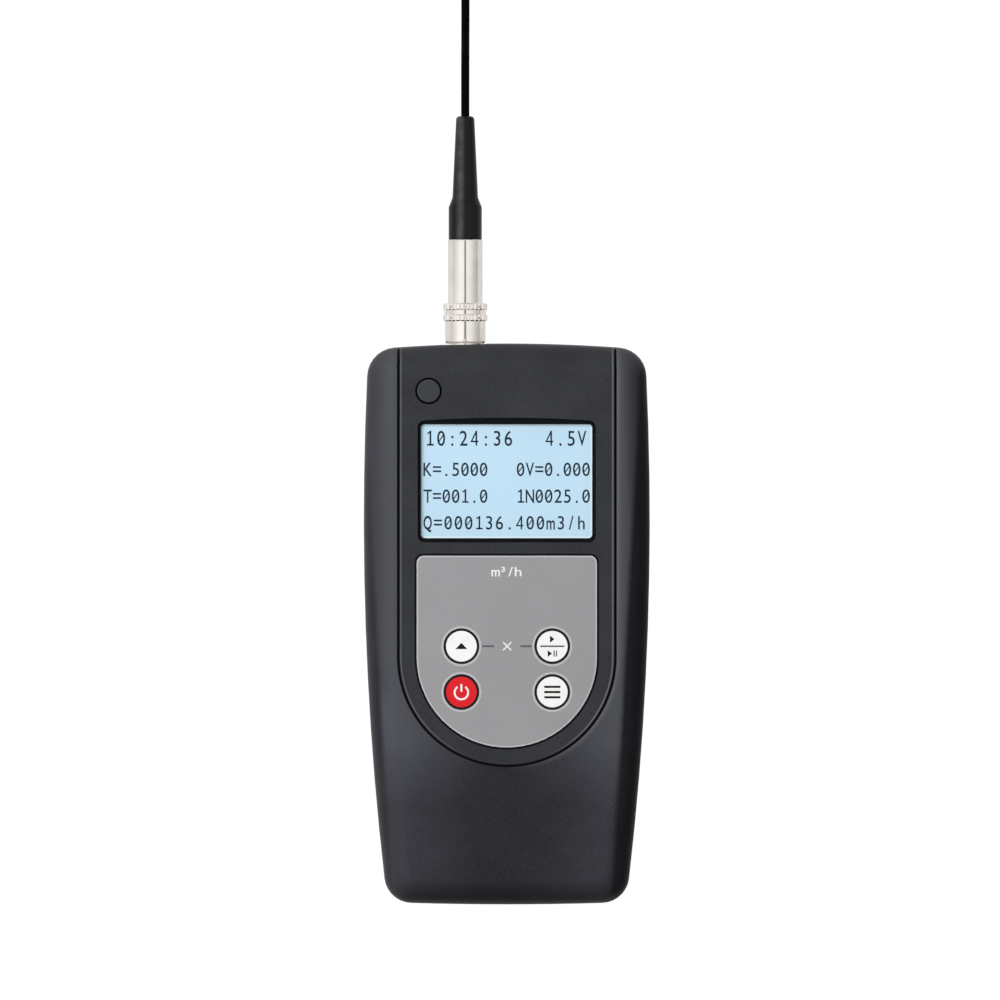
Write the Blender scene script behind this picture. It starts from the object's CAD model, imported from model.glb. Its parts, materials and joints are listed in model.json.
# %% [markdown]
# # A hand-held flow meter
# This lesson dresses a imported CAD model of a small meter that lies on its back, with its sensor lead
# plugged in. The CAD pieces are the frame: every new piece goes where they are, and rides on one of their
# bodies.

import json
import math

import bmesh
import bpy
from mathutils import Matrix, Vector


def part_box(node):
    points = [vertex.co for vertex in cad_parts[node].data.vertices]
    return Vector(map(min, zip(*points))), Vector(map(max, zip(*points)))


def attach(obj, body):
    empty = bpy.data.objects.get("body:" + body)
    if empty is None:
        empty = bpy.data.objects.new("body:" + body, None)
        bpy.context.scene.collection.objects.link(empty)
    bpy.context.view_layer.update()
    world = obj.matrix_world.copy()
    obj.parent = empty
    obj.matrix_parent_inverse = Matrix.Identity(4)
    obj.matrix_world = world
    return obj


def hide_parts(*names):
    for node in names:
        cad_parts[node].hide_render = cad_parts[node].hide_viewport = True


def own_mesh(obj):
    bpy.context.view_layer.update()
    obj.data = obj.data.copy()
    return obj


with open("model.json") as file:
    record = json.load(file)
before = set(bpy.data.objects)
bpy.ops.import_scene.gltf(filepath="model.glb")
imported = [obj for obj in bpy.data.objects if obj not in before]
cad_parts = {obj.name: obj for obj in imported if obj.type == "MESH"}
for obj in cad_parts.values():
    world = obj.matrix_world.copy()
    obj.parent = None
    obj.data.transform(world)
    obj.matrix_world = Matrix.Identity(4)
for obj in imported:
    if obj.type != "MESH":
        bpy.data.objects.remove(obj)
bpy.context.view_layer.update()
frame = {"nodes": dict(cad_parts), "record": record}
MM = 0.001
scene = bpy.context.scene
scene.view_settings.view_transform = "Standard"

# %% [markdown]
# ## Camera
# The product is photographed from straight above with a long lens, so that its sides hardly show. A camera
# without rotation looks down the Z axis, with Y upwards in the picture. The distance follows from the lens
# and from the width that the picture shows at the height of the meter's face.

# %% Camera over the display
FACE_HEIGHT = 30 * MM
PICTURE_WIDTH = 287.15 * MM
PICTURE_CENTRE = (-1.96 * MM, 35.79 * MM)
LENS, SENSOR = 350, 36
camera_data = bpy.data.cameras.new("camera")
camera_data.lens = LENS
camera_data.sensor_width = SENSOR
camera = bpy.data.objects.new("camera", camera_data)
distance = PICTURE_WIDTH * LENS / SENSOR
camera.location = (*PICTURE_CENTRE, FACE_HEIGHT + distance)
scene.collection.objects.link(camera)
scene.camera = camera
print("camera", round(distance, 3), "m above the face")

# %% [markdown]
# ## Sensor lead
# A thin round lead leaves the rubber boot, bends down to the table and runs to a neat coil of four layers.
# Its far end comes off the top of the coil and goes into a second plug. A curve with a round bevel is the
# natural tool: it keeps its thickness in every bend. The route has few points, so a Catmull-Rom curve is
# drawn through them. The bevel is one metre deep and each point's radius scales it down, so that the
# curve's box is as thin as it is.

# %% Route of the lead, in millimetres
CORD_D = 2.4
SOCKET_X, SOCKET_Z = -12, 14
CASE_END, PLUG_LENGTH, BOOT_LENGTH = 81, 30.1, 35.5
CORD_START = Vector((SOCKET_X, CASE_END + PLUG_LENGTH + BOOT_LENGTH, SOCKET_Z))
LEAD = [(0, 0, 0), (0, 3.5, 0), (0, 7, 0), (0, 11, -0.5), (0, 15, -2.1), (0, 18.3, -4.6), (0, 21, -7.5),
        (0, 24, -10.2), (0, 28, -12.1), (0, 33, -12.8), (0, 40, -12.8), (0, 49, -12.8), (0, 57, -12.8)]
TAIL = [(0, 0, 0), (3, 0, 0), (6, 0, -0.4), (9, 0, -1.3), (12, 0, -2.3), (15, 0, -3.2), (18, 0, -3.6),
        (21, 0, -3.6)]
COIL_PITCH = 3
COIL_IN = 9.6
COIL_RUN = 3.1875
COIL_LAYERS = 4
CLIMB_TURNS = 0.5
LOOP_POINTS = 24
ROUNDNESS = 5
coil_start = CORD_START + Vector(LEAD[-1])
coil_out = COIL_IN + COIL_PITCH * COIL_RUN
coil_centre = coil_start + Vector((coil_out, CORD_D, 0))
coil_turns = COIL_LAYERS * COIL_RUN + (COIL_LAYERS - 1) * CLIMB_TURNS


def coil_point(turn):
    """A layer winds in or out at a steady rate, and the lead climbs in the half turn after it."""
    layer = min(int(turn / (COIL_RUN + CLIMB_TURNS)), COIL_LAYERS - 1)
    done = turn - layer * (COIL_RUN + CLIMB_TURNS)
    climb = max(done - COIL_RUN, 0)
    way = -1 if layer % 2 == 0 else 1
    wound = min(done, COIL_RUN) + climb - 2 * climb ** 2
    radius = (coil_out if way < 0 else COIL_IN) + way * COIL_PITCH * wound
    ease = 4 * climb * climb * (3 - 4 * climb)
    angle = math.radians(180 - 360 * turn)
    height = COIL_PITCH * (layer + ease)
    return coil_centre + Vector((radius * math.cos(angle), radius * math.sin(angle), height))


steps = round(coil_turns * LOOP_POINTS)
coil = [coil_point(i / LOOP_POINTS) for i in range(steps + 1)]
coil_end = coil_centre + Vector((CORD_D, coil_out, (COIL_LAYERS - 1) * COIL_PITCH))
route = [CORD_START + Vector(p) for p in LEAD] + coil + [coil_end + Vector(p) for p in TAIL]
print(len(route), "points on the route,", round(coil_turns, 2), "turns")


# %% A smooth curve through the route
def smooth(points, parts):
    """Catmull-Rom curve through the points, with each stretch cut in parts."""
    line = []
    for i in range(len(points) - 1):
        before = points[max(i - 1, 0)]
        a, b = points[i], points[i + 1]
        after = points[min(i + 2, len(points) - 1)]
        for k in range(parts):
            t = k / parts
            line.append(0.5 * (2 * a + t * (b - before) + t * t * (2 * before - 5 * a + 4 * b - after)
                               + t ** 3 * (3 * a - before - 3 * b + after)))
    return line + [points[-1]]


path = [Vector((p.x, p.y, max(p.z, CORD_D / 2))) * MM for p in smooth(route, parts=3)]
lead_curve = bpy.data.curves.new("sensor_lead", "CURVE")
lead_curve.dimensions = "3D"
lead_curve.bevel_depth = 1
lead_curve.bevel_resolution = ROUNDNESS
lead_curve.use_fill_caps = True
spline = lead_curve.splines.new("POLY")
spline.points.add(len(path) - 1)
for point, place in zip(spline.points, path):
    point.co = (*place, 1)
    point.radius = CORD_D / 2 * MM
spline.use_smooth = True
sensor_lead = bpy.data.objects.new("sensor_lead", lead_curve)
scene.collection.objects.link(sensor_lead)
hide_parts("cord_lead", "cord_coil", "cord_tail")
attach(sensor_lead, "lead")

# %% [markdown]
# ## Shader maths as expressions
# A material that varies over its surface needs many small Math nodes. Wrapping a socket in a class with
# overloaded operators lets us write `1 - grain * 0.4` and have the nodes made for us. All other nodes come
# from one method, which sets a node's options first and then its sockets.


# %% A wire that can be used in sums
class Wire:
    """The output of a node. Sums with wires and numbers add Math nodes."""

    def __init__(self, paint, socket):
        self.paint = paint
        self.socket = socket

    def math(self, operation, first, second=0.0):
        return self.paint.wire("ShaderNodeMath", {"operation": operation}, {0: first, 1: second})

    def __add__(self, other):
        return self.math("ADD", self, other)

    def __sub__(self, other):
        return self.math("SUBTRACT", self, other)

    def __rsub__(self, other):
        return self.math("SUBTRACT", other, self)

    def __mul__(self, other):
        return self.math("MULTIPLY", self, other)

    def __truediv__(self, other):
        return self.math("DIVIDE", self, other)

    def __pow__(self, other):
        return self.math("POWER", self, other)

    def __lt__(self, other):
        return self.math("LESS_THAN", self, other)

    def __gt__(self, other):
        return self.math("GREATER_THAN", self, other)

    def __abs__(self):
        return self.math("ABSOLUTE", self)

    def least(self, other):
        return self.math("MINIMUM", self, other)

    def most(self, other):
        return self.math("MAXIMUM", self, other)

    __radd__ = __add__
    __rmul__ = __mul__


# %% A paint: one material under construction
class Paint:
    """Adds nodes to a new material, or to the world. Places in a material are in metres."""

    def __init__(self, name, home=None, places="Object"):
        self.home = home or bpy.data.materials.new(name)
        self.home.use_nodes = True
        self.tree = self.home.node_tree
        self.tree.nodes.clear()
        self.place = self.wire("ShaderNodeTexCoord", out=places)

    def add(self, kind, settings=None, sockets=None):
        node = self.tree.nodes.new(kind)
        for name, value in (settings or {}).items():
            if name == "stops":
                while len(node.color_ramp.elements) < len(value):
                    node.color_ramp.elements.new(1.0)
                for stop, (at, colour) in zip(node.color_ramp.elements, value):
                    stop.position = at
                    stop.color = (*colour, 1)
            else:
                setattr(node, name, value)
        for name, value in (sockets or {}).items():
            if isinstance(value, Wire):
                self.tree.links.new(value.socket, node.inputs[name])
            else:
                node.inputs[name].default_value = value
        return node

    def wire(self, kind, settings=None, sockets=None, out=0):
        return Wire(self, self.add(kind, settings, sockets).outputs[out])

    def axes(self):
        split = self.add("ShaderNodeSeparateXYZ", None, {0: self.place})
        return [Wire(self, split.outputs[i]) for i in range(3)]

    def noise(self, size, detail=2.0, stretch=(1, 1, 1)):
        """Soft noise with features of that size, drawn out along an axis by a stretch under 1."""
        place = self.wire("ShaderNodeMapping", None, {"Vector": self.place, "Scale": stretch})
        sockets = {"Vector": place, "Scale": 1 / size, "Detail": detail}
        return self.wire("ShaderNodeTexNoise", None, sockets, "Fac")

    def ramp(self, value, *stops):
        """Colours at places from 0 to 1 along a value."""
        return self.wire("ShaderNodeValToRGB", {"stops": stops}, {0: value}, "Color")

    def blend(self, share, a, b):
        """Colour a where share is 0 and colour b where it is 1."""
        ends = [(*c, 1) if isinstance(c, tuple) and len(c) == 3 else c for c in (a, b)]
        return self.wire("ShaderNodeMix", {"data_type": "RGBA"}, {0: share, 6: ends[0], 7: ends[1]}, 2)

    def finish(self, colour, roughness, metal=0.0, height=None, depth=0.0, **fixed):
        base = (*colour, 1) if isinstance(colour, tuple) else colour
        sockets = {"Base Color": base, "Roughness": roughness, "Metallic": metal}
        if height is not None:
            relief = {"Strength": 1.0, "Distance": depth, "Height": height}
            sockets["Normal"] = self.wire("ShaderNodeBump", None, relief)
        sockets.update({name.replace("_", " "): value for name, value in fixed.items()})
        surface = self.wire("ShaderNodeBsdfPrincipled", None, sockets)
        self.add("ShaderNodeOutputMaterial", None, {"Surface": surface})
        return self.home

    def rays(self):
        """Share of a ray that comes from the camera, and of one that comes by way of a mirror or glass."""
        ray = self.add("ShaderNodeLightPath")
        camera, glossy, bent = [Wire(self, ray.outputs[f"Is {kind} Ray"])
                                for kind in ("Camera", "Glossy", "Transmission")]
        return camera, glossy + bent


def srgb(*values):
    """A colour as an image editor shows it, 0 to 255, as the linear numbers that shaders use."""
    shares = [v / 255 for v in values]
    return tuple(s / 12.92 if s <= 0.04045 else ((s + 0.055) / 1.055) ** 2.4 for s in shares)


def shade(colour, factor):
    return tuple(min(c * factor, 1.0) for c in colour)


print("shader helpers ready")

# %% [markdown]
# ## Moulded plastics
# The shells and the front panel are spark-textured ABS: charcoal, matte, with a fine grain that catches the
# light as tiny specks. One noise drives colour, roughness and relief together, so a raised grain is also
# the lighter and the glossier one. A second, wide noise adds the slight cloudiness of handled plastic.
#
# The joint lines of the front follow the same U shape as the CAD pieces. A gap of a third of a millimetre
# is too thin to look as black as it does in daylight, so the edges beside it darken too. Outside the U the
# shell is paler where a hand holds it, and darker below the keypad and down the outer edge. That is a lift
# of the grain's own tone, so the specks stay.

# %% Sizes of the front, in millimetres
PANEL_HALF = 31.17
ROUND_Y = -9.4
JOINT_REACH = 0.4
PAD_GAP = 0.2
RUBBED_IN, RUBBED_REACH = 0.75, 0.22
BUTTON = (-22.5, 67.1)
BUTTON_FACE_R = 3.25
BUTTON_HOLE_R = 3.85
PARTING_HEIGHT, PARTING_REACH = 14, 0.25
SEAT_HEIGHT = 22
PAD_HALF = 25.9
PAD_TOP = 19.8
PAD_CORNER = 2
PAD_FACE = 29.95
KEY_X = 13.05
KEY_Y = (-6.2, -19.35)
KEY_TOP = 30.1
KEY_FACE_R = 4.4
RING_R = 5.72
CUT_EDGE = 0.45
FACE_HALF, FACE_SPREAD, FACE_SHIFT = 35.9, 0.055, -1.5
JOINT_BLACK = srgb(16, 16, 18)
WORN_GREY = srgb(78, 80, 86)
RUBBED_GREY = srgb(150, 152, 158)
keys = {"key_up": (-KEY_X, KEY_Y[0]), "key_run": (KEY_X, KEY_Y[0]), "key_power": (-KEY_X, KEY_Y[1]),
        "key_menu": (KEY_X, KEY_Y[1])}
print("keys at", keys)


# %% Distances on the front
def distance_to(x, y, centre):
    """Distance in millimetres from a point of the front."""
    across = x / MM - centre[0]
    along = y / MM - centre[1]
    return (across * across + along * along) ** 0.5


def distance_in(x, y, half):
    """Distance in millimetres from the outline of a U with its round end down, positive on the inside."""
    below = (y / MM - ROUND_Y).least(0.0)
    return half - ((x / MM) * (x / MM) + below * below) ** 0.5


def distance_in_pad(x, y):
    """Distance in millimetres from the keypad's outline, positive on the inside, up to its corner radius."""
    across = (PAD_CORNER - distance_in(x, y, PAD_HALF)).most(0.0)
    along = (y / MM - PAD_TOP + PAD_CORNER).most(0.0)
    return PAD_CORNER - (across * across + along * along) ** 0.5


# %% Grained and smooth plastics
def share(value):
    """A wire kept between 0 and 1."""
    return value.least(1.0).most(0.0)


def rise(value, start, end):
    """A wire that goes from 0 to 1 while the value goes from start to end."""
    return share((value - start) / (end - start))


def front_shares(paint):
    """How far to the side, how far inside the rounded edge and how near the face, each from 0 to 1."""
    x, y, z = paint.axes()
    side = rise(abs(x) / MM, 0, 30) ** 1.6
    past_edge = abs(x / MM - FACE_SHIFT) - y / MM * FACE_SPREAD - FACE_HALF
    return side, rise(past_edge, 0.75, -0.75), rise(z / MM, 18, 26)


def shell_lift(paint):
    """Change of tone over the front of the shell."""
    x, y, _ = paint.axes()
    side, inside, face = front_shares(paint)
    below = rise(y / MM, -12, -22)
    edge = (1 - inside) * ((x > 0) * 0.2 + 0.16)
    return ((side * 0.4 - 0.22) * below * inside - edge) * face


def worn_grip(paint, tint):
    """Paler beside the panel, palest at the right lip of its seat, and black at the joint lines."""
    x, y, z = paint.axes()
    side, inside, face = front_shares(paint)
    out = distance_in(x, y, PANEL_HALF) * -1
    reach = rise(y / MM, -18, -28) * 24 + 8
    worn = share(1.25 - out / reach) * rise(y / MM, -52, -34) * side * inside * face
    tint = paint.blend(worn, tint, WORN_GREY)
    lip = rise(out, 1.8, 0.3) * (out > -0.5) * rise(x / MM, 0, 25) * face
    tint = paint.blend(lip * 0.24, tint, RUBBED_GREY)
    seat = (abs(out) < JOINT_REACH) * (z > SEAT_HEIGHT * MM)
    parting = abs(z / MM - PARTING_HEIGHT) < PARTING_REACH
    return paint.blend(seat.most(parting), tint, JOINT_BLACK)


def joint_lines(paint, tint):
    """Black round the panel, the keypad and the round button, and a rubbed line along the panel's edge."""
    x, y, _ = paint.axes()
    inward = distance_in(x, y, PANEL_HALF)
    line = (abs(inward) < JOINT_REACH).most(abs(distance_in_pad(x, y) + PAD_GAP) < JOINT_REACH)
    line = line.most(distance_to(x, y, BUTTON) < BUTTON_HOLE_R)
    rubbed = (abs(inward - RUBBED_IN) < RUBBED_REACH) * rise(abs(x) / MM, 12, 24) * ((x > 0) * 0.12 + 0.24)
    return paint.blend(line, paint.blend(rubbed, tint, RUBBED_GREY), JOINT_BLACK)


def button_edge(paint, tint):
    x, y, _ = paint.axes()
    return paint.blend(distance_to(x, y, BUTTON) > BUTTON_FACE_R, tint, JOINT_BLACK)


CLOUD, CLOUD_SIZE = 0.35, 14


def grained(name, colour, mark, roughness=0.5, grain=0.30, depth=0.03, speck=1.0, lift=None):
    """Moulded grain: mark paints the joint lines on it, and lift makes it paler or darker by place."""
    paint = Paint(name)
    fine = paint.noise(grain * MM, 3.0)
    wide = paint.noise(CLOUD_SIZE * MM, 2.0)
    tone = fine * speck + wide * CLOUD + (0.5 - 0.5 * speck - CLOUD / 2)
    tone = tone + lift(paint) if lift else tone
    tint = paint.ramp(tone, (0.0, shade(colour, 0.3)), (0.28, shade(colour, 0.68)), (0.5, colour),
                      (0.74, shade(colour, 1.42)), (1.0, shade(colour, 1.9)))
    return paint.finish(mark(paint, tint), roughness + 0.08 - fine * 0.16, height=fine, depth=depth * MM,
                        Specular_IOR_Level=0.1)


def smooth_plastic(name, colour, roughness, **fixed):
    paint = Paint(name)
    haze = paint.noise(5 * MM, 3.0)
    tint = paint.ramp(haze, (0.3, shade(colour, 0.93)), (0.7, shade(colour, 1.05)))
    return paint.finish(tint, roughness + haze * 0.1 - 0.05, height=haze, depth=0.01 * MM, **fixed)


finishes = {
    "shell_plastic": grained("charcoal_shell", srgb(50, 50, 56), worn_grip, lift=shell_lift),
    "panel_plastic": grained("charcoal_panel", srgb(53, 54, 58), joint_lines, 0.55, 0.26, 0.02, 0.8),
    "button_plastic": grained("charcoal_button", srgb(62, 64, 70), button_edge, 0.45, 0.26, 0.015, 0.6),
    "mask_black": smooth_plastic("printed_black", srgb(8, 9, 11), 0.25, Specular_IOR_Level=0.1),
    "backlight_white": smooth_plastic("light_guide_white", srgb(236, 240, 242), 0.35),
    "parts_black": smooth_plastic("package_black", srgb(34, 34, 36), 0.45),
    "switch_plastic": smooth_plastic("switch_black", srgb(40, 40, 43), 0.4),
    "stem_ivory": smooth_plastic("stem_ivory", srgb(226, 219, 196), 0.4),
    "insert_ivory": smooth_plastic("insulator_ivory", srgb(222, 214, 192), 0.38),
}
print(len(finishes), "plastics")

# %% [markdown]
# ## Metals
# Turned parts show fine rings round their axis, and sheet parts a rolled grain along it. Both are a noise
# that is stretched hard in one direction. It goes into roughness and a very shallow relief, because a
# metal's own colour hardly varies.


# %% Turned, rolled and plated metals
def metal(name, colour, roughness, size, stretch, depth=0.002):
    paint = Paint(name)
    rings = paint.noise(size * MM, 3.0, stretch)
    stain = paint.noise(6 * MM, 3.0)
    tint = paint.ramp(stain, (0.3, shade(colour, 0.9)), (0.7, shade(colour, 1.06)))
    return paint.finish(tint, roughness + rings * 0.16 - 0.08, metal=1.0, height=rings, depth=depth * MM)


TURNED_ON_Y = (0.02, 1, 0.02)
TURNED_ON_X = (1, 0.02, 0.02)
finishes.update({
    "plug_nickel": metal("turned_nickel", srgb(240, 234, 228), 0.12, 0.3, TURNED_ON_Y, 0.0004),
    "far_nickel": metal("turned_nickel_far", srgb(240, 234, 228), 0.12, 0.3, TURNED_ON_X, 0.0004),
    "socket_nickel": metal("socket_nickel", srgb(214, 209, 203), 0.3, 0.2, TURNED_ON_Y),
    "contact_nickel": metal("contact_nickel", srgb(216, 213, 206), 0.28, 0.3, (1, 1, 0.03)),
    "frame_tin": metal("tinned_frame", srgb(190, 192, 194), 0.4, 0.5, (1, 0.05, 1)),
    "screw_steel": metal("board_screw_steel", srgb(196, 198, 200), 0.3, 0.3, (1, 1, 0.1)),
    "case_screw_steel": metal("blackened_steel", srgb(74, 74, 78), 0.38, 0.3, (1, 1, 0.1)),
    "dome_steel": metal("dome_steel", srgb(208, 210, 212), 0.2, 0.4, (1, 0.1, 1)),
    "spring_steel": metal("spring_steel", srgb(206, 206, 204), 0.25, 0.3, (1, 0.2, 1)),
    "pin_gold": metal("gold_flash", srgb(226, 190, 110), 0.22, 0.2, TURNED_ON_Y),
})
print(len(finishes), "finishes so far")

# %% [markdown]
# ## Rubber and cable jacket
# The boot is moulded rubber, nearly black, with a soft broad sheen and the dust-like haze of mould release.
# The jacket of the lead is smoother PVC. Both would look like paint with one flat roughness, so it varies
# here too.


# %% Rubber, jacket, seal and wires
def rubber(name, colour, roughness, size=0.4, depth=0.012, gloss=0.25, streak=None):
    """streak is the place along X in millimetres of a pale line of mould release on the upper side."""
    paint = Paint(name)
    haze = paint.noise(3 * MM, 4.0)
    pores = paint.noise(size * MM, 3.0)
    tint = paint.ramp(haze * 0.6 + pores * 0.4, (0.3, shade(colour, 0.8)), (0.7, shade(colour, 1.35)))
    if streak:
        x, _, z = paint.axes()
        pale = rise(abs(x / MM - streak), 1.44, 0.24) * haze * (z > SOCKET_Z * MM)
        tint = paint.blend(pale * 0.9, tint, srgb(86, 88, 90))
    return paint.finish(tint, roughness + haze * 0.2 - 0.1, height=pores, depth=depth * MM,
                        Specular_IOR_Level=gloss)


WIRE_SPLIT_X = -15.93


def wire_sleeves(name):
    """Red where the wire runs to the right of the board's plug, and black to its left."""
    paint = Paint(name)
    x, _, _ = paint.axes()
    red = x > WIRE_SPLIT_X * MM
    haze = paint.noise(2 * MM, 2.0)
    return paint.finish(paint.blend(red, srgb(28, 28, 30), srgb(190, 36, 32)), 0.34 + haze * 0.12)


finishes.update({
    "boot_rubber": rubber("boot_rubber", srgb(12, 12, 14), 0.34, gloss=0.2, streak=-13.5),
    "lead_jacket": rubber("lead_jacket", srgb(5, 5, 6), 0.55, 0.3, 0.002, 0.02),
    "seal_rubber": rubber("seal_rubber", srgb(24, 24, 26), 0.6),
    "wire_sleeve": wire_sleeves("wire_sleeves"),
})
print(len(finishes), "finishes so far")

# %% [markdown]
# ## Display, window and keypad
# The display is a positive liquid crystal with a pale blue backlight. It glows a little, so it keeps its
# colour in the shade of its frame. Its cells are a grid that is only just visible from close by. The clear
# window is a thin hard-coated sheet, mostly see-through.


# %% Display glass and clear window
LCD_LEFT, LCD_RIGHT = 24.67, 24.52
LCD_LOW, LCD_TOP = 24.83, 57.59
LCD_CELL, CELL_GAP = 0.36, 0.12
PALE_EDGE = 0.5


def display_finish(name, colour):
    paint = Paint(name)
    x, y, _ = paint.axes()
    inside = (x / MM + LCD_LEFT).least(LCD_RIGHT - x / MM).least(y / MM - LCD_LOW).least(LCD_TOP - y / MM)
    along = [axis / (LCD_CELL * MM) for axis in (x, y)]
    cells = [paint.wire("ShaderNodeMath", {"operation": "FRACT"}, {0: place}) for place in along]
    line = (cells[0] < CELL_GAP).most(cells[1] < CELL_GAP)
    glow = paint.noise(30 * MM, 1.0)
    tint = paint.ramp(glow, (0.3, shade(colour, 0.96)), (0.7, shade(colour, 1.03)))
    tint = paint.blend(line * 0.35, tint, shade(colour, 0.88))
    tint = paint.blend((inside < PALE_EDGE) * 0.8, tint, srgb(244, 254, 254))
    return paint.finish(tint, 0.32 + glow * 0.06, Emission_Color=(*colour, 1), Emission_Strength=0.28)


def clear_finish(name):
    paint = Paint(name)
    smear = paint.noise(16 * MM, 3.0)
    return paint.finish((0.02, 0.03, 0.04), 0.04 + smear * 0.06, Alpha=0.08, Specular_IOR_Level=0.5)


def board_finish(name):
    """Solder mask with tracks: narrow bands of two noises, stretched along the board and across it."""
    paint = Paint(name)
    long_way = paint.noise(1.6 * MM, 0.0, (1, 0.12, 1))
    cross_way = paint.noise(1.6 * MM, 0.0, (0.12, 1, 1))
    track = (abs(long_way - 0.5) < 0.03).most(abs(cross_way - 0.5) < 0.025)
    tint = paint.blend(track, srgb(24, 84, 48), srgb(58, 128, 74))
    return paint.finish(tint, 0.34 + track * 0.08, height=track, depth=0.03 * MM)


def circuit_finish(name):
    paint = Paint(name)
    strands = paint.noise(1.2 * MM, 0.0, (1, 0.1, 1))
    track = abs(strands - 0.5) < 0.05
    return paint.finish(paint.blend(track, srgb(196, 160, 96), srgb(150, 102, 58)), 0.36 + track * 0.1)


finishes.update({
    "display_glass": display_finish("backlit_display", srgb(198, 230, 250)),
    "window_clear": clear_finish("clear_window"),
    "board_green": board_finish("solder_mask"),
    "circuit_film": circuit_finish("polyimide_film"),
})
print(len(finishes), "finishes so far")

# %% [markdown]
# ## Keypad overlay and keys
# The overlay is printed polyester over foam. Its edge is cut, so a bright line runs just inside it, and
# each hole has a pale printed ring. The distance to the nearest edge or key is worked out from the same
# sizes as the CAD shape, so the print can't slide off it. A key is a disc with a black printed rim, and its
# centre is all that differs.


# %% Printed overlay and keys
def overlay_finish(name, colour):
    paint = Paint(name)
    x, y, _ = paint.axes()
    rim = (distance_in_pad(x, y) < CUT_EDGE) * 0.5
    key = distance_to(abs(x), y, (KEY_X, KEY_Y[0])).least(distance_to(abs(x), y, (KEY_X, KEY_Y[1])))
    ring = (key < RING_R) * 0.8
    weave = paint.noise(0.35 * MM, 2.0)
    cloud = paint.noise(20 * MM, 2.0)
    tint = paint.ramp(weave * 0.5 + cloud * 0.5, (0.3, shade(colour, 0.95)), (0.7, shade(colour, 1.05)))
    tint = paint.blend(rim.most(ring), tint, srgb(214, 214, 216))
    return paint.finish(tint, 0.42 + weave * 0.1, height=weave, depth=0.006 * MM)


def key_finish(name, colour, centre):
    paint = Paint(name)
    x, y, _ = paint.axes()
    away = distance_to(x, y, centre)
    rim = away > KEY_FACE_R
    haze = paint.noise(3 * MM, 2.0)
    tint = paint.ramp(haze, (0.3, shade(colour, 0.96)), (0.7, shade(colour, 1.02)))
    tint = paint.blend(rim, tint, srgb(8, 8, 9))
    return paint.finish(tint, 0.3 + haze * 0.08, height=haze, depth=0.004 * MM, Specular_IOR_Level=0.2)


finishes["overlay_grey"] = overlay_finish("printed_overlay", srgb(154, 154, 156))
for key, centre in keys.items():
    colour = srgb(226, 38, 46) if key == "key_power" else srgb(253, 253, 251)
    finishes[key] = key_finish(key + "_print", colour, centre)
print(len(finishes), "finishes so far")

# %% [markdown]
# ## Penlight cells
# A cell is a steel can in a printed sleeve. The sleeve's place is known in the frame, so plain comparisons
# on Object coordinates cut it into a dark body, a copper-coloured band and the bare metal ends.


# %% Cell wraps
BAND_START, FOOT_END, TOP_START = 0.7, 0.015, 0.965


def cell_finish(name, low, high, up):
    """low and high are the can's ends along Y in millimetres, and up tells which way its button points."""
    paint = Paint(name)
    _, y, _ = paint.axes()
    along = (y / MM - low) / (high - low) if up else (high - y / MM) / (high - low)
    band = along > BAND_START
    bare = (along < FOOT_END).most(along > TOP_START)
    haze = paint.noise(8 * MM, 2.0)
    tint = paint.blend(band, srgb(32, 34, 40), srgb(176, 112, 62))
    tint = paint.blend(bare, tint, srgb(206, 206, 204))
    return paint.finish(tint, 0.26 + haze * 0.1, metal=bare * 0.7 + band * 0.3)


for cell, up in (("cell_left", True), ("cell_middle", False), ("cell_right", True)):
    low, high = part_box(cell)
    finishes[cell] = cell_finish(cell + "_wrap", low.y / MM, high.y / MM, up)
print(len(finishes), "finishes in all")

# %% [markdown]
# ## Softened copies of the CAD shapes
# The CAD shells have knife edges, and real mouldings don't: a radius of a tenth or two of a millimetre
# catches the light along every edge. A CAD mesh is loose triangles, so a copy is merged, its flat faces are
# joined, and a bevel modifier rounds what is sharper than 32 degrees. A joined face with many corners may
# go round a hole, which a bevel can turn over, so such faces are cut into triangles again. Weighted normals
# keep the large flat faces flat. The snap domes under the keys are copies too, and they flatten as their
# key goes down.

# %% Bodies and finishes of the CAD nodes
BODY = {node: body for body, nodes in frame["record"]["behaviour"]["bodies"].items() for node in nodes}
FINISH = {
    "rear_case": "shell_plastic", "front_case": "shell_plastic", "battery_cover": "shell_plastic",
    "front_panel": "panel_plastic", "window_mask": "mask_black", "display_window": "window_clear",
    "display_glass": "display_glass", "display_backlight": "backlight_white", "display_frame": "frame_tin",
    "main_board": "board_green", "board_parts": "parts_black", "board_screws": "screw_steel",
    "keypad_circuit": "circuit_film", "keypad_overlay": "overlay_grey", "dome_up": "dome_steel",
    "dome_run": "dome_steel", "dome_power": "dome_steel", "dome_menu": "dome_steel",
    "round_button": "button_plastic", "switch_stem": "stem_ivory", "button_switch": "switch_plastic",
    "battery_springs": "spring_steel", "battery_plates": "contact_nickel", "battery_wires": "wire_sleeve",
    "case_screws": "case_screw_steel", "socket_shell": "socket_nickel", "socket_seal": "seal_rubber",
    "socket_insert": "insert_ivory", "socket_pins": "pin_gold", "socket_wires": "wire_sleeve",
    "plug_shell": "plug_nickel", "plug_sleeve": "plug_nickel", "plug_insert": "insert_ivory",
    "cable_boot": "boot_rubber", "far_boot": "boot_rubber", "far_shell": "far_nickel",
    "far_sleeve": "far_nickel", "far_insert": "insert_ivory",
}
for own in ("key_up", "key_run", "key_power", "key_menu", "cell_left", "cell_middle", "cell_right"):
    FINISH[own] = own
print("nodes without a finish:", sorted(set(frame["nodes"]) - set(FINISH)))


# %% Merged and softened copies
MERGE_REACH = 0.002
FLAT_ANGLE, SHARP_ANGLE = 0.2, 32


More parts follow.
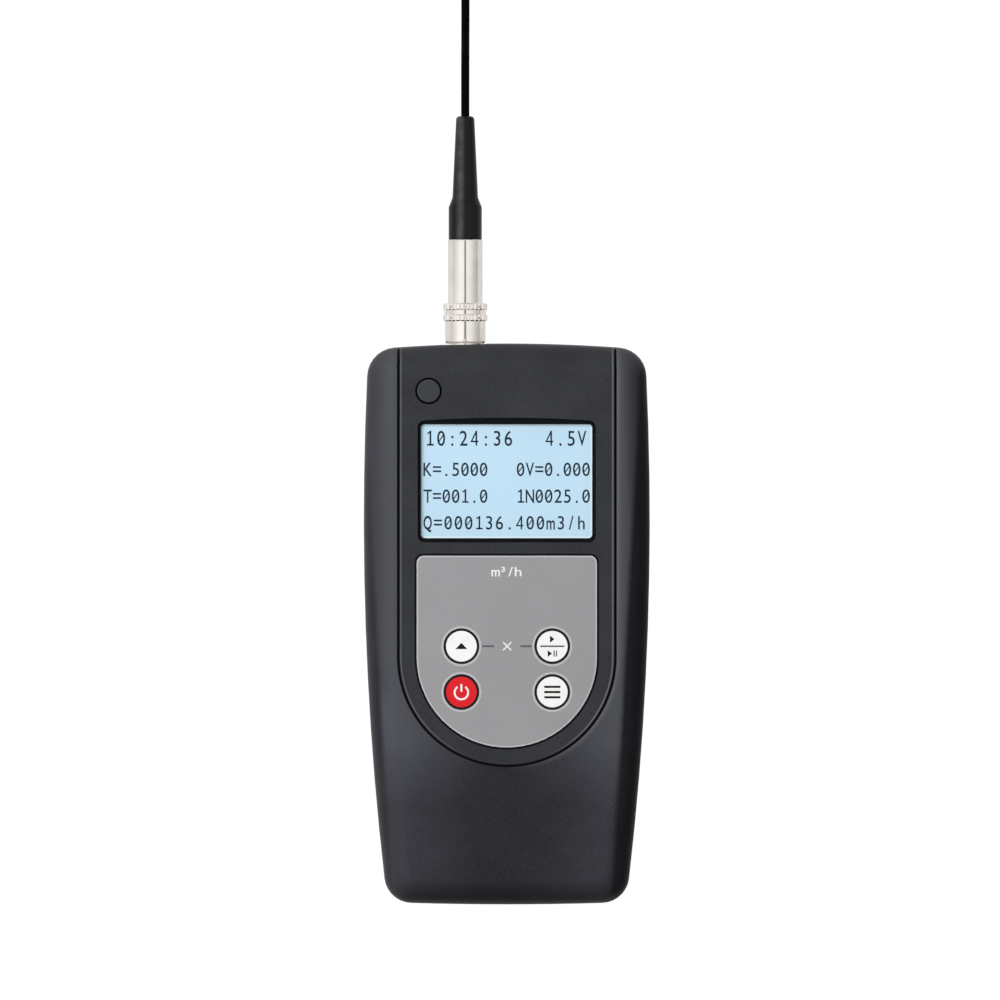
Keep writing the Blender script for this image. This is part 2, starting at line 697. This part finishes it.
def merged(node):
    """A merged copy of a CAD node, which stands for it."""
    mesh = bpy.data.meshes.new(node + "_soft")
    shape = bmesh.new()
    shape.from_mesh(frame["nodes"][node].data)
    bmesh.ops.remove_doubles(shape, verts=shape.verts, dist=MERGE_REACH * MM)
    bmesh.ops.dissolve_limit(shape, angle_limit=math.radians(FLAT_ANGLE), verts=shape.verts,
                             edges=shape.edges)
    bmesh.ops.triangulate(shape, faces=[face for face in shape.faces if len(face.verts) > 4])
    for face in shape.faces:
        face.smooth = True
    shape.to_mesh(mesh)
    shape.free()
    mesh.materials.append(finishes[FINISH[node]])
    piece = bpy.data.objects.new(node + "_soft", mesh)
    scene.collection.objects.link(piece)
    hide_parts(node)
    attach(piece, BODY[node])
    return piece


def softened(node, width):
    """A merged copy with its sharp edges rounded by width millimetres."""
    piece = merged(node)
    bevel = piece.modifiers.new("edge", "BEVEL")
    bevel.width = width * MM
    bevel.segments = 2
    bevel.limit_method = "ANGLE"
    bevel.angle_limit = math.radians(SHARP_ANGLE)
    flat = piece.modifiers.new("normals", "WEIGHTED_NORMAL")
    flat.keep_sharp = True
    return piece


# %% Softened shells, keys, plugs and boots
SOFTENED = {"rear_case": 0.2, "front_case": 0.2, "front_panel": 0.18, "battery_cover": 0.2,
            "keypad_overlay": 0.08, "round_button": 0.12, "key_up": 0.06, "key_run": 0.06,
            "key_power": 0.06, "key_menu": 0.06, "plug_shell": 0.08, "plug_sleeve": 0.06,
            "cable_boot": 0.25, "far_boot": 0.25, "socket_shell": 0.06, "case_screws": 0.1}
soft = {node: softened(node, width) for node, width in SOFTENED.items()}
print(len(soft), "softened copies")

# %% Snap domes, and finishes of the nodes that stay
for name in ("up", "run", "power", "menu"):
    soft["dome_" + name] = merged("dome_" + name)
    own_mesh(soft["dome_" + name])
kept = [node for node in frame["nodes"] if node in FINISH and node not in soft]
for node in kept:
    for holder in frame["nodes"][node].material_slots:
        holder.link = "OBJECT"
        holder.material = finishes[FINISH[node]]
print(len(soft), "copies in all, and", len(kept), "nodes that stay as they are")

# %% Jacket and far end of the lead
lead_curve.materials.append(finishes["lead_jacket"])

# %% [markdown]
# ## Print on the display, the keys and the overlay
# All print is thin plates that lie on a face and ride on the piece below, so that the symbols go down with
# a key. A plate is one flat polygon in a bmesh, extruded upwards. Symbols are bars, triangles, an open ring
# and a cross.

# %% Inks
def ink(name, colour):
    paint = Paint(name)
    patchy = paint.noise(0.5 * MM, 2.0)
    tint = paint.ramp(patchy, (0.3, shade(colour, 0.9)), (0.7, shade(colour, 1.1)))
    return paint.finish(tint, 0.4 + patchy * 0.1, Specular_IOR_Level=0.15)


inks = {"display_ink": ink("display_ink", srgb(44, 54, 64)), "black_ink": ink("black_ink", srgb(14, 14, 16)),
        "grey_ink": ink("grey_ink", srgb(92, 92, 95)), "white_ink": ink("white_ink", srgb(250, 250, 250)),
        "pale_ink": ink("pale_ink", srgb(190, 190, 192))}
print(len(inks), "inks")


# %% Plates, bars and rings
ARC_PARTS = 24


def plate(shape, points, low, high):
    """Add a flat plate to a bmesh: its corners in millimetres, and its lower and upper height."""
    corners = [shape.verts.new((x * MM, y * MM, low * MM)) for x, y in points]
    raised = bmesh.ops.extrude_face_region(shape, geom=[shape.faces.new(corners)])
    moved = [item for item in raised["geom"] if isinstance(item, bmesh.types.BMVert)]
    bmesh.ops.translate(shape, verts=moved, vec=(0, 0, (high - low) * MM))


def bar(shape, start, end, width, low, high):
    """Add a straight bar from start to end."""
    a, b = Vector(start), Vector(end)
    side = Vector((a.y - b.y, b.x - a.x)).normalized() * width / 2
    plate(shape, [a - side, b - side, b + side, a + side], low, high)


def ring(shape, centre, radius, width, start, end, low, high):
    """Add an open ring of that middle radius, from one angle in degrees to another."""
    turns = [math.radians(start + (end - start) * i / ARC_PARTS) for i in range(ARC_PARTS + 1)]
    edges = [[(centre[0] + r * math.cos(t), centre[1] + r * math.sin(t)) for t in turns]
             for r in (radius + width / 2, radius - width / 2)]
    plate(shape, edges[0] + edges[1][::-1], low, high)


def placed(points, centre):
    """Corners that are given from a centre."""
    return [(centre[0] + x, centre[1] + y) for x, y in points]


def place_piece(name, shape, material, body):
    """Make an object of a bmesh that is already in its place, and let it ride on a body."""
    bmesh.ops.recalc_face_normals(shape, faces=shape.faces)
    mesh = bpy.data.meshes.new(name)
    shape.to_mesh(mesh)
    shape.free()
    mesh.materials.append(material)
    piece = bpy.data.objects.new(name, mesh)
    scene.collection.objects.link(piece)
    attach(piece, body)


# %% Black symbols on the white keys
INK_LOW, INK_HIGH = KEY_TOP - 0.02, KEY_TOP + 0.03
UP_ARROW = [(-1.7, -0.8), (1.7, -0.8), (0, 0.98)]
RUN_ARROWS = [[(-0.65, 1.05), (0.6, 2.05), (-0.65, 3.05)], [(-1.3, -3.05), (-0.1, -2.1), (-1.3, -1.15)]]
RUN_BARS = [(-3.45, 0, 3.45, 0, 0.45), (0.52, -2.95, 0.52, -1.25, 0.34), (1.2, -2.95, 1.2, -1.25, 0.34)]
MENU_HALF, MENU_PITCH, MENU_THICK = 2.3, 1.5, 0.62
up = bmesh.new()
plate(up, placed(UP_ARROW, keys["key_up"]), INK_LOW, INK_HIGH)
place_piece("up_symbol", up, inks["black_ink"], "up_key")

run = bmesh.new()
for points in RUN_ARROWS:
    plate(run, placed(points, keys["key_run"]), INK_LOW, INK_HIGH)
place_piece("run_symbol", run, inks["black_ink"], "run_key")
lines = bmesh.new()
for x1, y1, x2, y2, thick in RUN_BARS:
    bar(lines, *placed([(x1, y1), (x2, y2)], keys["key_run"]), thick, INK_LOW, INK_HIGH)
place_piece("run_lines", lines, inks["grey_ink"], "run_key")

menu = bmesh.new()
for y in (-MENU_PITCH, 0, MENU_PITCH):
    bar(menu, *placed([(-MENU_HALF, y), (MENU_HALF, y)], keys["key_menu"]), MENU_THICK, INK_LOW, INK_HIGH)
place_piece("menu_symbol", menu, inks["black_ink"], "menu_key")
print("symbols on the white keys")

# %% White symbols on the red key and the overlay
FILM_LOW, FILM_HIGH = PAD_FACE - 0.02, PAD_FACE + 0.02
POWER_R, POWER_THICK, POWER_ARC = 1.95, 0.55, (125, 415)
CROSS = [(0.25, 0), (1.3, 1.05), (1.05, 1.3), (0, 0.25), (-1.05, 1.3), (-1.3, 1.05), (-0.25, 0),
         (-1.3, -1.05), (-1.05, -1.3), (0, -0.25), (1.05, -1.3), (1.3, -1.05)]
CROSS_CENTRE = (0.1, KEY_Y[0])
LINKS, LINK_THICK = ((-7.1, -3.7), (3.9, 7.1)), 0.5
x, y = keys["key_power"]
power = bmesh.new()
ring(power, (x, y - 0.15), POWER_R, POWER_THICK, *POWER_ARC, INK_LOW, INK_HIGH)
bar(power, (x, y + 0.1), (x, y + 2.3), POWER_THICK, INK_LOW, INK_HIGH)
place_piece("power_symbol", power, inks["white_ink"], "power_key")

cross = bmesh.new()
plate(cross, placed(CROSS, CROSS_CENTRE), FILM_LOW, FILM_HIGH)
place_piece("cancel_symbol", cross, inks["white_ink"], "housing")
links = bmesh.new()
for start, end in LINKS:
    bar(links, (start, KEY_Y[0]), (end, KEY_Y[0]), LINK_THICK, FILM_LOW, FILM_HIGH)
place_piece("key_link", links, inks["grey_ink"], "housing")
print("symbols on the red key and the overlay")

# %% [markdown]
# ## Turned rings
# A ring is a closed profile that is spun once round an axis. The overlay's film laps over its foam as far
# as each key, so that only a hairline stays open round it. The near sleeve ends in a rolled lip, right in
# front of the case.


# %% Film laps and sleeve lip
RING_STEPS = 64
LAP_IN, LAP_OUT, LAP_LOW = 5.14, 5.62, PAD_FACE - 0.05
LAP = [(LAP_IN, LAP_LOW), (LAP_OUT, LAP_LOW), (LAP_OUT, FILM_HIGH), (LAP_IN, FILM_HIGH)]
LIP = [(5.08, 80.95), (5.35, 80.95), (5.86, 81.5), (5.86, 82.2), (5.83, 82.2), (5.13, 81.46), (5.08, 81.46)]


def turned(shape, profile, centre, axis):
    """Spin a closed profile, a list of vectors in metres, once round an axis through the centre."""
    corners = [shape.verts.new(place) for place in profile]
    sides = [shape.edges.new((a, b)) for a, b in zip(corners, corners[1:] + corners[:1])]
    bmesh.ops.spin(shape, geom=corners + sides, cent=centre, axis=axis, angle=2 * math.pi,
                   steps=RING_STEPS, use_merge=True)


laps = bmesh.new()
for x, y in keys.values():
    profile = [Vector((x + r, y, z)) * MM for r, z in LAP]
    turned(laps, profile, Vector((x, y, 0)) * MM, (0, 0, 1))
place_piece("film_laps", laps, inks["pale_ink"], "housing")

lip = bmesh.new()
profile = [Vector((SOCKET_X + r, y, SOCKET_Z)) * MM for r, y in LIP]
turned(lip, profile, Vector((SOCKET_X, 0, SOCKET_Z)) * MM, (0, 1, 0))
place_piece("sleeve_lip", lip, finishes["plug_nickel"], "near_sleeve")
print("rings round", len(keys), "keys and on the sleeve")

# %% [markdown]
# ## Characters
# A display writes in a fixed pitch, so each character is placed on its own. The built-in font gives its
# outline as a text object, which becomes a mesh and is scaled to the display's own height and width. Zeros
# get a slash, and ones and fours are three bars each, as such displays draw them. A bar's ends are shares
# of a digit's width and height, counted from the middle of its foot, and its thickness is a sum of such
# shares.

# %% Outlines of the characters
GLYPHS = {}
OUTLINE_STEPS = 5
PLAIN_WEIGHT = 0.005
WEIGHTS = {"Q": 0.018, "m": 0.014, "N": 0.012, "K": 0.01, "V": 0.01}


def glyph(character):
    """Mesh of one character as a slab one unit thick, and its left and right edge."""
    if character not in GLYPHS:
        text = bpy.data.curves.new("glyph", "FONT")
        text.body = character
        text.resolution_u = OUTLINE_STEPS
        text.extrude = 0.5
        text.offset = WEIGHTS.get(character, PLAIN_WEIGHT)
        item = bpy.data.objects.new("glyph", text)
        scene.collection.objects.link(item)
        mesh = bpy.data.meshes.new_from_object(item.evaluated_get(bpy.context.evaluated_depsgraph_get()))
        bpy.data.objects.remove(item)
        across = [v.co.x for v in mesh.vertices]
        GLYPHS[character] = (mesh, min(across), max(across))
    return GLYPHS[character]


zero, left, right = glyph("0")
DIGIT_HEIGHT = max(v.co.y for v in zero.vertices)
DIGIT_WIDTH = right - left
print("a digit of the font is", round(DIGIT_WIDTH, 3), "wide and", round(DIGIT_HEIGHT, 3), "high")


# %% Rows of characters
WIDEST = 1.1
BARS = {
    "0": [((-0.25, 0.3), (0.25, 0.7), (0.14, 0))],
    "1": [((0.06, 0), (0.06, 1), (0.22, 0)), ((0.06, 0.94), (-0.32, 0.8), (0.18, 0)),
          ((-0.36, 0.06), (0.48, 0.06), (0, 0.12))],
    "4": [((0.2, 0), (0.2, 1), (0.2, 0)), ((0.2, 0.96), (-0.42, 0.28), (0.17, 0)),
          ((-0.5, 0.28), (0.46, 0.28), (0, 0.1))],
}


def write_glyph(shape, character, height, width, middle, base, low, high):
    """Add a character of the font, as wide as a digit or up to WIDEST digits wide."""
    mesh, left, right = glyph(character)
    wide = min(width / DIGIT_WIDTH, WIDEST * width / (right - left))
    old = len(shape.verts)
    shape.from_mesh(mesh)
    shape.verts.ensure_lookup_table()
    for vert in shape.verts[old:]:
        x = middle + (vert.co.x - (left + right) / 2) * wide
        y = base + vert.co.y * height / DIGIT_HEIGHT
        z = low + (vert.co.z + 0.5) * (high - low)
        vert.co = Vector((x, y, z)) * MM


def write_row(shape, text, height, width, pitch, first, base, low, high):
    """Add a row: size of a digit, pitch, centre of the first character and baseline, all in millimetres."""
    for i, character in enumerate(text):
        middle = first + i * pitch
        if character not in "14":
            write_glyph(shape, character, height, width, middle, base, low, high)
        for start, end, thick in BARS.get(character, []):
            ends = [(middle + x * width, base + y * height) for x, y in (start, end)]
            bar(shape, *ends, thick[0] * width + thick[1] * height, low, high)


# %% Reading and unit
LCD_FACE = 27.4
ROWS = [("10:24:36", 4.3, 2.3, 3.22, -22.1, 51.4), ("4.5V", 4.3, 2.3, 3.1, 12.3, 51.4),
        ("K=.5000", 3.85, 2.2, 2.68, -22.75, 42.7), ("0V=0.000", 3.85, 2.2, 2.69, 3.95, 42.7),
        ("T=001.0", 3.85, 2.2, 2.68, -22.75, 35.0), ("1N0025.0", 3.85, 2.2, 2.69, 3.95, 35.0),
        ("Q=000136.400m3/h", 3.85, 2.2, 2.946, -22.75, 27.35)]
reading = bmesh.new()
for row in ROWS:
    write_row(reading, *row, LCD_FACE - 0.02, LCD_FACE + 0.02)
place_piece("display_reading", reading, inks["display_ink"], "housing")
unit = bmesh.new()
write_row(unit, "m\u00b3/h", 2.7, 2.2, 2.15, -3.2, 13.9, FILM_LOW, FILM_HIGH)
place_piece("unit_print", unit, inks["white_ink"], "housing")
print(sum(len(row[0]) for row in ROWS), "characters,", len(GLYPHS), "outlines")

# %% [markdown]
# ## Edges of the display's two openings
# The panel's opening and the printed mask end in thin rounded edges, and the panel's upper edge is bowed.
# Each edge is a flat frame. A polygon can't have a hole, so a frame is made as two halves that meet in the
# middle.


# %% Frames with a rounded opening
BOW_REACH = 21
CORNER_PARTS, TOP_PARTS = 8, 6


def half_opening(reach, low, top, bow, radius):
    """Corners of the right half of an opening, from the middle of its top to the middle of its foot."""
    def height(x):
        return top - bow * (x / BOW_REACH) ** 2

    turns = [math.radians(90 - 90 * i / CORNER_PARTS) for i in range(CORNER_PARTS + 1)]
    inner = reach - radius
    upper = [(inner * i / TOP_PARTS, height(inner * i / TOP_PARTS)) for i in range(TOP_PARTS)]
    corner = [(inner + radius * math.cos(a), height(inner) - radius + radius * math.sin(a)) for a in turns]
    foot = [(inner + radius * math.sin(a), low + radius - radius * math.cos(a)) for a in turns]
    return upper + corner + foot + [(0, low)]


def frame_plate(name, opening, bow, radius, rim, heights, slot):
    """Two half frames round an opening (left, right, low, top), out to a rectangle (reach, low, top)."""
    shape = bmesh.new()
    reach_out, low_out, top_out = rim
    for side, reach in zip((-1, 1), opening[:2]):
        outline = half_opening(reach, *opening[2:], bow, radius)
        outline += [(0, low_out), (reach_out, low_out), (reach_out, top_out), (0, top_out)]
        plate(shape, [(side * x, y) for x, y in outline], *heights)
    place_piece(name, shape, finishes[slot], "housing")


PANEL_OPENING, PANEL_BOW, PANEL_CORNER = (25.6, 25.54, 23.6, 59.41), 0.6, 2.0
MASK_OPENING, MASK_CORNER = (LCD_LEFT, LCD_RIGHT, LCD_LOW, LCD_TOP), 1.1
frame_plate("window_rim", PANEL_OPENING, PANEL_BOW, PANEL_CORNER, rim=(26.4, 22.9, 60.2),
            heights=(29.6, 30.004), slot="panel_plastic")
frame_plate("mask_edge", MASK_OPENING, 0, MASK_CORNER, rim=(25.6, 23.9, 58.6), heights=(28.5, 28.61),
            slot="mask_black")
print("display opening", LCD_LEFT + LCD_RIGHT, "by", round(LCD_TOP - LCD_LOW, 2), "mm")

# %% [markdown]
# ## Arrow on the battery cover
# An arrow moulded on the cover tells which way it slides. It is one more plate, raised a little from the
# cover's sunk face, at the back of the meter.

# %% Arrow
ARROW = [(-3, -53), (0, -57), (3, -53)]
ARROW_LOW, ARROW_HIGH = 0.12, 0.32
arrow = bmesh.new()
plate(arrow, ARROW, ARROW_LOW, ARROW_HIGH)
place_piece("cover_arrow", arrow, finishes["shell_plastic"], "cover")
print("arrow", round(ARROW_HIGH - ARROW_LOW, 2), "mm high")

# %% [markdown]
# ## Floor, light and world
# The backdrop is plain white. A white floor lit to full white would need so much light that the meter
# washes out, so the floor shows itself a little brighter to the camera, to mirrors and through glass than
# the light makes it, and still takes the shadow. To the right of the meter and in front of it the floor is
# dark to mirrors and gives no light back, as a black card would. One large soft light hangs at the upper
# left and a weak one at the right, both hidden from mirrors. The sky lights matte surfaces weakly. Metal
# mirrors a brighter one, with a small dark patch overhead where the photographer's camera hangs.

# %% Floor
FLOOR_HALF, FLOOR_DROP = 3, 0.02 * MM
floor_mesh = bpy.data.meshes.new("floor")
ground = bmesh.new()
bmesh.ops.create_grid(ground, x_segments=1, y_segments=1, size=FLOOR_HALF)
ground.to_mesh(floor_mesh)
ground.free()
floor = bpy.data.objects.new("floor", floor_mesh)
floor.location.z = -FLOOR_DROP
scene.collection.objects.link(floor)
print("floor", 2 * FLOOR_HALF, "m wide")

# %% Paint of the floor
CAMERA_SHARE, MIRROR_SHARE, CARD_TONE = 0.94, 0.6, 0.15
GLOW_STRENGTH = 1.09
CARD_GREY, MATTE_GREY = (0.05, 0.05, 0.05), (0.4, 0.4, 0.4)
floor_paint = Paint("white_floor")
camera_ray, mirror_ray = floor_paint.rays()
x, y, _ = floor_paint.axes()
beside, before, behind = rise(x, 0.07, 0.03), rise(y, -0.15, -0.09), rise(y, 0.075, 0.085)
lit = beside.most(behind).least(before).most(CARD_TONE)
seen = (camera_ray * CAMERA_SHARE).most(mirror_ray * MIRROR_SHARE * lit)
grey = floor_paint.blend(lit, CARD_GREY, MATTE_GREY)
matte = floor_paint.wire("ShaderNodeBsdfDiffuse", None, {"Color": grey})
glow = floor_paint.wire("ShaderNodeEmission", None, {"Color": (1, 1, 1, 1), "Strength": GLOW_STRENGTH})
both = floor_paint.wire("ShaderNodeMixShader", None, {0: seen, 1: matte, 2: glow})
floor_paint.add("ShaderNodeOutputMaterial", None, {"Surface": both})
floor_mesh.materials.append(floor_paint.home)
print("floor painted")


# %% Soft lights
AIM = Vector((0, 0.04, 0))


def soft_light(name, place, size, power):
    """A square area light that points at the middle of the case."""
    data = bpy.data.lights.new(name, "AREA")
    data.shape = "RECTANGLE"
    data.size, data.size_y = size, size
    data.energy = power
    lamp = bpy.data.objects.new(name, data)
    lamp.location = place
    lamp.rotation_euler = (AIM - Vector(place)).to_track_quat("-Z", "Y").to_euler()
    lamp.visible_glossy = False
    scene.collection.objects.link(lamp)
    print(name, power, "W")


soft_light("light_key", (-0.5, 0.34, 1.05), 0.7, 15.3)
soft_light("light_fill", (0.5, 0.2, 1.0), 0.5, 0.3)

# %% World
SKY_GREY, WHITE, PATCH_GREY = (0.08, 0.08, 0.08), (1, 1, 1), (0.05, 0.05, 0.05)
MIRRORED_SKY = [(0.0, (0.55, 0.55, 0.55)), (0.5, (0.75, 0.75, 0.75)), (0.85, WHITE), (0.993, WHITE),
                (0.998, PATCH_GREY)]
world = bpy.data.worlds.new("studio")
scene.world = world
sky = Paint("studio", world, places="Generated")
rightward, _, upward = sky.axes()
camera_ray, mirror_ray = sky.rays()
mirrored = sky.ramp(upward, *MIRRORED_SKY) * (1.05 - rightward * 0.15)
tint = sky.blend(mirror_ray.least(1.0), SKY_GREY, mirrored)
tint = sky.blend(camera_ray, tint, WHITE)
light = sky.wire("ShaderNodeBackground", None, {"Color": tint, "Strength": 1.0})
sky.add("ShaderNodeOutputWorld", None, {"Surface": light})
print("sky with", len(MIRRORED_SKY), "tones for mirrors")
